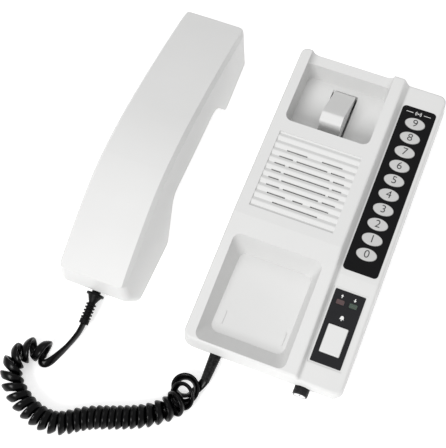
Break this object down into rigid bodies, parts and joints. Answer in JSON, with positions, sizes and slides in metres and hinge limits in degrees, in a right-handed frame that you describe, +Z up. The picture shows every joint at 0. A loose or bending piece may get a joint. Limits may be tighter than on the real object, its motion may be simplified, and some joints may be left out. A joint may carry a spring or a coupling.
{
  "type": "desk intercom",
  "caption": "Desk or wall intercom station with an arched handset on a curly cord, a key strip, a call button, a speaker grille and a hook lever in the cradle.",
  "frame": {"origin": "middle of the base's underside, on the table", "axes": "+X towards the key strip, +Y towards the earpiece end, +Z up; handset lies at -X"},
  "size_m": [0.2053, 0.2997, 0.0578],
  "materials": {
    "case_white": "fine moulded texture",
    "handset_white": "fine moulded texture",
    "key_white": "satin",
    "label_black": "printed film",
    "black_plastic": "satin",
    "lens_red": "diffusing red",
    "lens_green": "diffusing green",
    "cap_metal": "bright turned",
    "cord_black": "satin sheath",
    "rubber_black": "matte",
    "rubber_grey": "silicone",
    "board_green": "solder mask",
    "part_black": "epoxy",
    "steel": "plated",
    "iron": "dull",
    "paper_black": "pressed paper"
  },
  "bodies": {
    "base": {"base_top_shell": "case_white", "base_bottom_shell": "case_white", "key_label": "label_black", "call_label": "label_black", "power_jack": "black_plastic", "hook_switch": "black_plastic", "volume_control": "black_plastic", "call_switch": "black_plastic", "speaker_clamps": "black_plastic", "tx_lamp_lens": "lens_red", "rx_lamp_lens": "lens_green", "handset_lead": "cord_black", "curly_cord": "cord_black", "base_lead": "cord_black", "rubber_feet": "rubber_black", "base_cord_sleeve": "rubber_black", "antenna_rod": "rubber_black", "key_mat": "rubber_grey", "main_board": "board_green", "call_board": "board_green", "radio_module": "board_green", "board_parts": "part_black", "key_contacts": "part_black", "lamp_leds": "part_black", "case_screws": "steel", "board_screws": "steel", "hook_pin": "steel", "hook_spring": "steel", "speaker_frame": "steel", "speaker_magnet": "iron", "speaker_cone": "paper_black"},
    "key_0": {"key_0": "key_white"},
    "key_1": {"key_1": "key_white"},
    "key_2": {"key_2": "key_white"},
    "key_3": {"key_3": "key_white"},
    "key_4": {"key_4": "key_white"},
    "key_5": {"key_5": "key_white"},
    "key_6": {"key_6": "key_white"},
    "key_7": {"key_7": "key_white"},
    "key_8": {"key_8": "key_white"},
    "key_9": {"key_9": "key_white"},
    "call_button": {"call_button": "case_white"},
    "hook_lever": {"hook_lever": "case_white"},
    "volume_knob": {"volume_knob": "black_plastic", "knob_cap": "cap_metal", "volume_shaft": "steel"},
    "handset": {"handset_back_shell": "handset_white", "handset_front_shell": "handset_white", "handset_screws": "steel", "ear_seal": "rubber_black", "ear_capsule": "steel", "mic_capsule": "steel", "mic_holder": "rubber_black", "ballast_weight": "iron", "handset_strain_relief": "rubber_black"}
  },
  "joints": [
    {"name": "key_0_press", "type": "slide", "parent": "base", "child": "key_0", "axis": [0, 0, -1], "range_m": [0, 0.0008], "stiffness_N_per_m": 600},
    {"name": "key_1_press", "type": "slide", "parent": "base", "child": "key_1", "axis": [0, 0, -1], "range_m": [0, 0.0008], "stiffness_N_per_m": 600},
    {"name": "key_2_press", "type": "slide", "parent": "base", "child": "key_2", "axis": [0, 0, -1], "range_m": [0, 0.0008], "stiffness_N_per_m": 600},
    {"name": "key_3_press", "type": "slide", "parent": "base", "child": "key_3", "axis": [0, 0, -1], "range_m": [0, 0.0008], "stiffness_N_per_m": 600},
    {"name": "key_4_press", "type": "slide", "parent": "base", "child": "key_4", "axis": [0, 0, -1], "range_m": [0, 0.0008], "stiffness_N_per_m": 600},
    {"name": "key_5_press", "type": "slide", "parent": "base", "child": "key_5", "axis": [0, 0, -1], "range_m": [0, 0.0008], "stiffness_N_per_m": 600},
    {"name": "key_6_press", "type": "slide", "parent": "base", "child": "key_6", "axis": [0, 0, -1], "range_m": [0, 0.0008], "stiffness_N_per_m": 600},
    {"name": "key_7_press", "type": "slide", "parent": "base", "child": "key_7", "axis": [0, 0, -1], "range_m": [0, 0.0008], "stiffness_N_per_m": 600},
    {"name": "key_8_press", "type": "slide", "parent": "base", "child": "key_8", "axis": [0, 0, -1], "range_m": [0, 0.0008], "stiffness_N_per_m": 600},
    {"name": "key_9_press", "type": "slide", "parent": "base", "child": "key_9", "axis": [0, 0, -1], "range_m": [0, 0.0008], "stiffness_N_per_m": 600},
    {"name": "call_button_press", "type": "slide", "parent": "base", "child": "call_button", "axis": [0, 0.1045, -0.9945], "range_m": [0, 0.0008], "stiffness_N_per_m": 600},
    {"name": "hook_press", "type": "hinge", "parent": "base", "child": "hook_lever", "pos_m": [-0.0147, 0.0966, 0.0082], "axis": [1, 0, 0], "range_deg": [0, 14], "stiffness_Nm_per_rad": 0.08, "springref_deg": -5.73},
    {"name": "volume_turn", "type": "hinge", "parent": "base", "child": "volume_knob", "pos_m": [0.0276, -0.1056, 0.0086], "axis": [0, -1, 0], "range_deg": [-140, 140]},
    {"name": "handset_lift", "type": "slide", "parent": "base", "child": "handset", "axis": [0, 0, 1], "range_m": [0, 0.1]}
  ]
}
